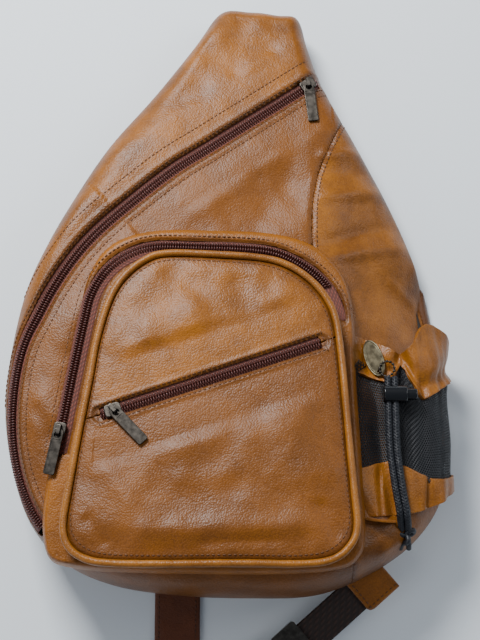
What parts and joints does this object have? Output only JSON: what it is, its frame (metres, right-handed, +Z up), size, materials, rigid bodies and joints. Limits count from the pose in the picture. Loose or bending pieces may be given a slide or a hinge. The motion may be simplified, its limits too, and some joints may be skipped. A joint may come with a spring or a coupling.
{
  "type": "sling bag",
  "caption": "Teardrop leather sling bag lying on its back, with a long curved zip, a zipped front pocket, a slanting zip, a mesh bottle pocket with a drawcord, and a shoulder strap.",
  "frame": {"origin": "on the resting plane under the middle of the body, on the back pad", "axes": "+X across the bag to its bottle pocket side, +Y towards the narrow top end, +Z up out of the front"},
  "size_m": [0.3255, 0.5787, 0.123],
  "materials": {
    "leather": "satin",
    "piping": "satin",
    "pad": "satin",
    "strap_leather": "satin",
    "lining": "matte",
    "zip_tape": "matte",
    "zip_coil": "satin",
    "antique_metal": "satin",
    "mesh": "matte",
    "cord": "matte",
    "lock_plastic": "gloss",
    "webbing": "matte"
  },
  "bodies": {
    "bag": {"back_panel": "leather", "gusset_left": "leather", "gusset_right": "leather", "gusset_bottom": "leather", "side_panel_right": "leather", "upper_front_panel": "leather", "main_front_panel": "leather", "pocket_zip_gusset": "leather", "pocket_gusset": "leather", "pocket_face_upper": "leather", "pocket_face_lower": "leather", "bottle_pocket_cuff": "leather", "bottle_pocket_pouch": "leather", "pocket_piping": "piping", "back_pad_left": "pad", "back_pad_right": "pad", "lining": "lining", "pocket_lining": "lining", "main_zip_tape": "zip_tape", "pocket_zip_tape": "zip_tape", "slant_zip_tape": "zip_tape", "main_zip_coil": "zip_coil", "pocket_zip_coil": "zip_coil", "slant_zip_coil": "zip_coil", "bottle_pocket_mesh": "mesh", "drawcord_left": "cord", "drawcord_right": "cord", "drawcord_knot": "cord", "shoulder_strap": "strap_leather", "strap_fold": "strap_leather", "strap_end": "strap_leather", "strap_anchor_top": "strap_leather", "strap_corner_tab": "leather", "strap_ring": "antique_metal", "strap_webbing": "webbing"},
    "main_slider": {"main_zip_slider": "antique_metal"},
    "main_puller": {"main_zip_puller": "antique_metal"},
    "pocket_slider": {"pocket_zip_slider": "antique_metal"},
    "pocket_puller": {"pocket_zip_puller": "antique_metal"},
    "slant_slider": {"slant_zip_slider": "antique_metal"},
    "slant_puller": {"slant_zip_puller": "antique_metal"},
    "cord_lock": {"cord_lock_barrel": "lock_plastic"},
    "lock_button": {"cord_lock_button": "lock_plastic"},
    "tag": {"oval_tag": "antique_metal", "tag_chain": "antique_metal"},
    "adjuster": {"strap_adjuster": "antique_metal"}
  },
  "joints": [
    {"name": "main_zip_run", "type": "slide", "parent": "bag", "child": "main_slider", "axis": [-0.8262, -0.5606, 0.0561], "range_m": [0, 0.118]},
    {"name": "main_puller_lift", "type": "hinge", "parent": "main_slider", "child": "main_puller", "pos_m": [0.05255, 0.19134, 0.05489], "axis": [-0.9928, -0.1191, 0.0119], "range_deg": [0, 150]},
    {"name": "pocket_zip_run", "type": "slide", "parent": "bag", "child": "pocket_slider", "axis": [0.1657, 0.9813, -0.0981], "range_m": [0, 0.085]},
    {"name": "pocket_puller_lift", "type": "hinge", "parent": "pocket_slider", "child": "pocket_puller", "pos_m": [-0.12667, -0.08, 0.09006], "axis": [-0.9819, 0.1885, -0.0188], "range_deg": [0, 150]},
    {"name": "slant_zip_run", "type": "slide", "parent": "bag", "child": "slant_slider", "axis": [0.9456, 0.3214, -0.0498], "range_m": [0, 0.12]},
    {"name": "slant_puller_lift", "type": "hinge", "parent": "slant_slider", "child": "slant_puller", "pos_m": [-0.08748, -0.06746, 0.10871], "axis": [-0.7163, -0.6896, 0.1069], "range_deg": [0, 150]},
    {"name": "cord_lock_slide", "type": "slide", "parent": "bag", "child": "cord_lock", "axis": [0, -0.9988, 0.0499], "range_m": [-0.004, 0.022]},
    {"name": "lock_button_press", "type": "slide", "parent": "cord_lock", "child": "lock_button", "axis": [-1, 0, 0], "range_m": [0, 0.003], "stiffness_N_per_m": 400},
    {"name": "tag_swing", "type": "hinge", "parent": "bag", "child": "tag", "pos_m": [0.111, -0.0345, 0.0755], "axis": [0.5501, 0.8351, 0], "range_deg": [0, 90]},
    {"name": "adjuster_slide", "type": "slide", "parent": "bag", "child": "adjuster", "axis": [0.757, 0.6534, 0], "range_m": [-0.015, 0.03]}
  ]
}
